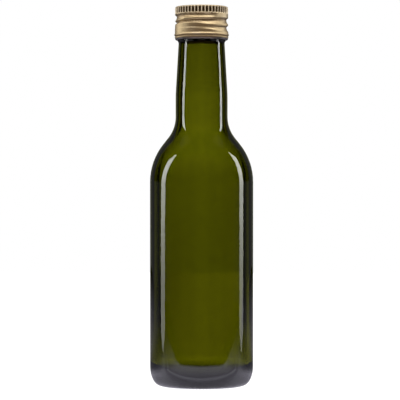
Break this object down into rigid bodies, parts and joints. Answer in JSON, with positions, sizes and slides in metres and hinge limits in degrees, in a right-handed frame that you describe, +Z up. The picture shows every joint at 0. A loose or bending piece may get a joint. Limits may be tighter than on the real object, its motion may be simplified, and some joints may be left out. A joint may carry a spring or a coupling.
{
  "type": "oil bottle",
  "caption": "Small dark green glass oil bottle with round shoulders, a tapered neck, a thick base and a gold-toned aluminium screw cap.",
  "frame": {"origin": "centre of the ring that the bottle stands on", "axes": "+Z up the bottle's axis to the cap, -Y towards the side the picture shows"},
  "size_m": [0.0558, 0.0558, 0.204],
  "materials": {
    "green_glass": "clear polished olive green glass",
    "gold_aluminium": "satin, pale gold lacquer"
  },
  "bodies": {
    "root": {"bottle": "green_glass", "screw_cap": "gold_aluminium"}
  },
  "joints": []
}
